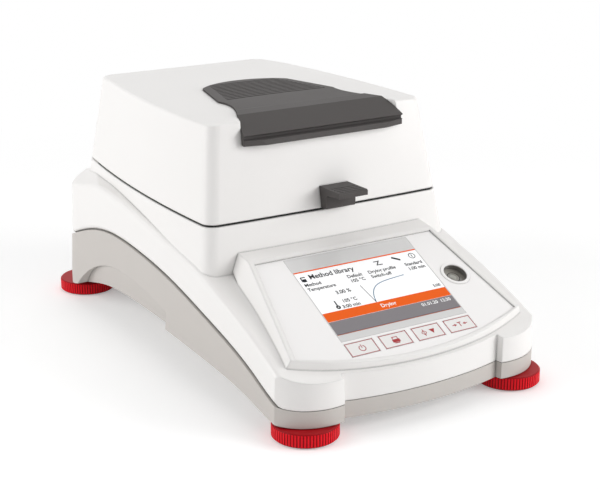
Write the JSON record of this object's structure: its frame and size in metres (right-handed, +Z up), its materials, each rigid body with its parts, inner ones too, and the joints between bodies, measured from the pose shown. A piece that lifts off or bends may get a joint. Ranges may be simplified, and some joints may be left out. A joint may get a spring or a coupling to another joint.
{
  "type": "moisture analyzer",
  "caption": "Halogen moisture analyzer with a hinged heating lid, weighing pan, sloping control panel with a colour display, and levelling feet.",
  "frame": {"origin": "on the bench under the middle of the outline, midway between the four feet", "axes": "+Z up, -Y towards the operator and the control panel, +X to the operator's right"},
  "size_m": [0.2262, 0.4062, 0.1956],
  "materials": {
    "white_shell": "smooth satin-gloss moulded plastic",
    "grey_shell": "fine-grained moulded plastic",
    "dark_plastic": "moulded panel",
    "black_plastic": "moulded, slightly glossy",
    "port_metal": "nickel-plated shells",
    "overlay_white": "printed polyester overlay",
    "display_glass": "cover glass over a lit colour display",
    "key_white": "key caps with thin red outlines",
    "circuit_board": "solder-masked board",
    "level_fluid": "tinted fluid under a clear cover",
    "bright_sheet": "brushed stainless sheet",
    "pan_foil": "pressed aluminium",
    "handler_black": "heat-resistant moulding",
    "cell_alloy": "machined alloy",
    "screw_steel": "zinc-plated steel",
    "brass_insert": "knurled brass",
    "hinge_steel": "pressed and plated steel",
    "rubber_black": "soft rubber",
    "charcoal_plastic": "fine-grained charcoal moulding",
    "screen_mesh": "perforated heat screen",
    "heater_glass": "clear protective glass",
    "mirror_sheet": "polished reflector",
    "lamp_quartz": "quartz tube",
    "ceramic_white": "ceramic blocks",
    "foot_red": "knurled red wheels"
  },
  "bodies": {
    "base": {"upper_housing": "white_shell", "lower_housing": "grey_shell", "rear_panel": "dark_plastic", "power_inlet": "black_plastic", "fuse_drawer": "black_plastic", "serial_port": "port_metal", "usb_ports": "port_metal", "fan_frame": "black_plastic", "panel_overlay": "overlay_white", "touch_glass": "display_glass", "display_module": "port_metal", "keypad_board": "circuit_board", "level_bezel": "overlay_white", "level_vial": "level_fluid", "chamber_tray": "bright_sheet", "draft_ring": "bright_sheet", "chassis_plate": "bright_sheet", "load_cell_mount": "cell_alloy", "load_cell": "cell_alloy", "pan_spindle": "bright_sheet", "main_board": "circuit_board", "power_board": "circuit_board", "housing_screws": "screw_steel", "foot_inserts": "brass_insert", "hinge_brackets": "hinge_steel", "hinge_pins": "screw_steel", "lid_bumpers": "rubber_black"},
    "lid": {"lid_shell": "white_shell", "lid_visor": "charcoal_plastic", "vent_screen": "screen_mesh", "lid_handle": "charcoal_plastic", "lid_frame": "bright_sheet", "lid_screws": "screw_steel", "glass_ring": "bright_sheet", "heater_glass": "heater_glass", "heat_reflector": "mirror_sheet", "halogen_lamp": "lamp_quartz", "lamp_holders": "ceramic_white", "temperature_probe": "screw_steel", "hinge_leaves": "hinge_steel"},
    "handler": {"pan_handler": "handler_black"},
    "pan": {"sample_pan": "pan_foil", "pan_support": "bright_sheet"},
    "fan": {"fan_rotor": "black_plastic"},
    "key_power_body": {"key_power": "key_white"},
    "key_print_body": {"key_print": "key_white"},
    "key_start_body": {"key_start": "key_white"},
    "key_tare_body": {"key_tare": "key_white"},
    "foot_front_left": {"pad_front_left": "rubber_black"},
    "turn_front_left": {"wheel_front_left": "foot_red", "stud_front_left": "screw_steel"},
    "foot_front_right": {"pad_front_right": "rubber_black"},
    "turn_front_right": {"wheel_front_right": "foot_red", "stud_front_right": "screw_steel"},
    "foot_rear_left": {"pad_rear_left": "rubber_black"},
    "turn_rear_left": {"wheel_rear_left": "foot_red", "stud_rear_left": "screw_steel"},
    "foot_rear_right": {"pad_rear_right": "rubber_black"},
    "turn_rear_right": {"wheel_rear_right": "foot_red", "stud_rear_right": "screw_steel"}
  },
  "joints": [
    {"name": "lid_hinge", "type": "hinge", "parent": "base", "child": "lid", "pos_m": [0, 0.1776, 0.1222], "axis": [-1, 0, 0], "range_deg": [0, 80]},
    {"name": "handler_lift", "type": "slide", "parent": "base", "child": "handler", "axis": [0, 0, 1], "range_m": [0, 0.005]},
    {"name": "pan_lift", "type": "slide", "parent": "base", "child": "pan", "axis": [0, 0, 1], "range_m": [0, 0.005]},
    {"name": "fan_spin", "type": "hinge", "parent": "base", "child": "fan", "pos_m": [0.045, 0.18224, 0.074], "axis": [0, 0.9989, 0.0471], "continuous": true},
    {"name": "key_power_press", "type": "slide", "parent": "base", "child": "key_power_body", "axis": [0, 0.4431, -0.8965], "range_m": [0, 0.0004], "stiffness_N_per_m": 2500, "springref_m": -0.0002},
    {"name": "key_print_press", "type": "slide", "parent": "base", "child": "key_print_body", "axis": [0, 0.4431, -0.8965], "range_m": [0, 0.0004], "stiffness_N_per_m": 2500, "springref_m": -0.0002},
    {"name": "key_start_press", "type": "slide", "parent": "base", "child": "key_start_body", "axis": [0, 0.4431, -0.8965], "range_m": [0, 0.0004], "stiffness_N_per_m": 2500, "springref_m": -0.0002},
    {"name": "key_tare_press", "type": "slide", "parent": "base", "child": "key_tare_body", "axis": [0, 0.4431, -0.8965], "range_m": [0, 0.0004], "stiffness_N_per_m": 2500, "springref_m": -0.0002},
    {"name": "foot_front_left_rise", "type": "slide", "parent": "base", "child": "foot_front_left", "axis": [0, 0, -1], "range_m": [0, 0.006]},
    {"name": "wheel_front_left_turn", "type": "hinge", "parent": "foot_front_left", "child": "turn_front_left", "pos_m": [-0.0895, -0.1795, 0.006], "axis": [0, 0, 1], "range_deg": [0, 1728]},
    {"name": "foot_front_right_rise", "type": "slide", "parent": "base", "child": "foot_front_right", "axis": [0, 0, -1], "range_m": [0, 0.006]},
    {"name": "wheel_front_right_turn", "type": "hinge", "parent": "foot_front_right", "child": "turn_front_right", "pos_m": [0.0895, -0.1795, 0.006], "axis": [0, 0, 1], "range_deg": [0, 1728]},
    {"name": "foot_rear_left_rise", "type": "slide", "parent": "base", "child": "foot_rear_left", "axis": [0, 0, -1], "range_m": [0, 0.006]},
    {"name": "wheel_rear_left_turn", "type": "hinge", "parent": "foot_rear_left", "child": "turn_rear_left", "pos_m": [-0.0895, 0.1795, 0.006], "axis": [0, 0, 1], "range_deg": [0, 1728]},
    {"name": "foot_rear_right_rise", "type": "slide", "parent": "base", "child": "foot_rear_right", "axis": [0, 0, -1], "range_m": [0, 0.006]},
    {"name": "wheel_rear_right_turn", "type": "hinge", "parent": "foot_rear_right", "child": "turn_rear_right", "pos_m": [0.0895, 0.1795, 0.006], "axis": [0, 0, 1], "range_deg": [0, 1728]}
  ],
  "couplings": [
    {"joint": "pan_lift", "follows": "handler_lift", "ratio": 1},
    {"joint": "foot_front_left_rise", "follows": "wheel_front_left_turn", "m_per_rad": 0.00019894},
    {"joint": "foot_front_right_rise", "follows": "wheel_front_right_turn", "m_per_rad": 0.00019894},
    {"joint": "foot_rear_left_rise", "follows": "wheel_rear_left_turn", "m_per_rad": 0.00019894},
    {"joint": "foot_rear_right_rise", "follows": "wheel_rear_right_turn", "m_per_rad": 0.00019894}
  ]
}
